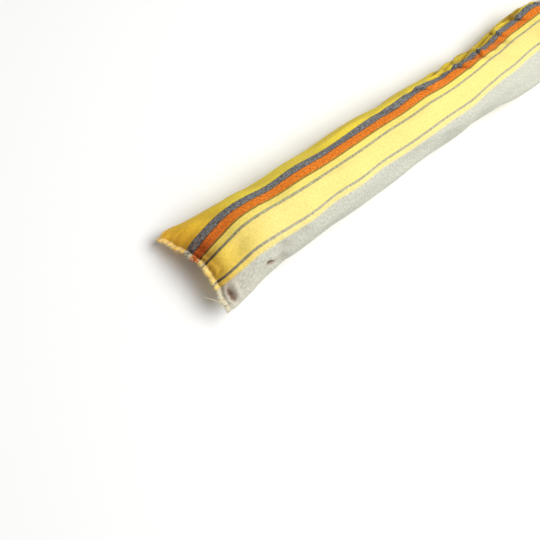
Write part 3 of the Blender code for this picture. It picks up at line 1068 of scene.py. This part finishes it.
def stripeRamp(tree, share, colours):
    ramp = addNode(tree, "ValToRGB", {"Fac": share})
    ramp.color_ramp.interpolation = "CONSTANT"
    elements = ramp.color_ramp.elements
    elements.remove(elements[1])
    begin = 0.0
    for index, stripe in enumerate(stripes):
        place = begin / halfGirth
        element = elements[0] if index == 0 else elements.new(place)
        element.position = place
        element.color = (*stripe[colours], stripe["heather"])
        begin = stripe["to"]
    return ramp.outputs["Color"], ramp.outputs["Alpha"]


def stripedCottonMaterial():
    look = cottonCloth
    material, tree, shader = fabric("stripedCotton", look)
    calc, times = partial(maths, tree), partial(maths, tree, "MULTIPLY")
    uv = addNode(tree, "UVMap", uv_map="cloth").outputs["UV"]
    grain = partial(noise, tree, uv)
    split = splitVector(tree, uv)
    along, around = split["X"], split["Y"]

    # the stripe edges wander with the yarns
    wander, ragged = look["edgeWander"], look["edgeRaggedness"]
    slow = calc("MULTIPLY_ADD", grain(look["edgeWanderSize"]), wander, -wander / 2)
    fast = calc("MULTIPLY_ADD", grain(look["edgeRaggedSize"], 1.0), ragged, -ragged / 2)
    wandered = calc("ADD", around, calc("ADD", slow, fast))
    across = calc("DIVIDE", calc("PINGPONG", wandered, halfGirth), halfGirth)
    fresh, heather = stripeRamp(tree, across, "warp")
    # the second ramp is the painted shade of the ends, mixed in towards both raw edges
    handled = stripeRamp(tree, across, "handled")[0]
    fromMiddle = calc("ABSOLUTE", calc("SUBTRACT", along, halfLength))
    patches = grain(look["mottleSize"])
    unevenly = calc("MULTIPLY_ADD", patches, look["paintedEndShadingUneven"], fromMiddle)
    warp = mixColours(tree, inwardMask(tree, unevenly, look["paintedEndShadingReach"]), fresh, handled)

    # pale and fluffy at the cut edge; painted shade behind the seam, where it is gathered, and in its
    # folds and dents
    edge = inwardMask(tree, fromMiddle, look["edgeReach"])
    patchy = calc("MULTIPLY_ADD", grain(look["edgePatchSize"], 1.0), 2.4, -0.7, clamp=True)
    edgeShare = times(edge, times(patchy, look["edgeShare"]))
    warp = mixColours(tree, edgeShare, warp, look["edgeColour"])
    root = calc("SUBTRACT", inwardMask(tree, fromMiddle, look["rootReach"]), edge, clamp=True)
    towardsMiddle = calc("SINE", times(across, math.pi))
    rootShade = times(times(root, towardsMiddle), look["rootShare"])
    hollow = addNode(tree, "Attribute", attribute_name="hollow").outputs["Fac"]
    shade = calc("MAXIMUM", rootShade, times(hollow, look["hollowShare"]))

    places = {"Along": along, "Around": around, "Yarn Spacing": look["yarnSpacing"]}
    weave = addNode(tree, "Group", places, node_tree=plainWeave).outputs
    weftShows = times(weave["Weft Over"], look["weftShows"])
    woven = mixColours(tree, weftShows, warp, look["weftColour"])
    shaded = mixColours(tree, shade, woven, look["shade"], "MULTIPLY")

    tone = yarnTones(tree, uv, look["fleckLength"], look["fleckWidth"])
    bright = calc("MULTIPLY_ADD", tone, times(heather, look["fleckDepth"]), 1.0)
    mottle = calc("MULTIPLY_ADD", grain(look["mottleSize"], 3.0), look["mottleDepth"],
                  1.0 - look["mottleDepth"] / 2)
    toned = addNode(tree, "VectorMath", {0: shaded, "Scale": times(bright, mottle)}, operation="SCALE")
    plug(tree, shader.inputs["Base Color"], toned.outputs[0])

    yarns = times(weave["Height"], look["yarnHeight"])
    flecks = times(tone, look["yarnHeight"] * look["fleckRise"])
    crumple = times(grain(look["crumpleSize"], 3.0), look["crumpleHeight"])
    bumped(tree, calc("ADD", calc("ADD", yarns, flecks), crumple), shader)
    return material


def sewingThreadMaterial():
    look = sewingThread
    material, tree, shader = fabric("sewingThread", look)
    coordinates = addNode(tree, "TexCoord").outputs["Object"]
    tone = yarnTones(tree, coordinates, look["toneSize"], look["toneSize"] * 0.4)
    share = maths(tree, "MULTIPLY_ADD", tone, 0.35, 0.35, clamp=True)
    plug(tree, shader.inputs["Base Color"], mixColours(tree, share, look["colour"], look["darkColour"]))
    twist = maths(tree, "MULTIPLY", noise(tree, coordinates, look["twistSize"], 1.0), look["twistHeight"])
    bumped(tree, twist, shader)
    return material


stripedCotton = stripedCottonMaterial()
stuffedTube.data.materials.append(stripedCotton)
frayedYarns.data.materials.append(stripedCotton)
overlockSewing.data.materials.append(sewingThreadMaterial())
print("materials made")


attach(stuffedTube, "root")
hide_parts("stuffed_tube")
for piece in (overlockSewing, frayedYarns):
    piece.parent = stuffedTube
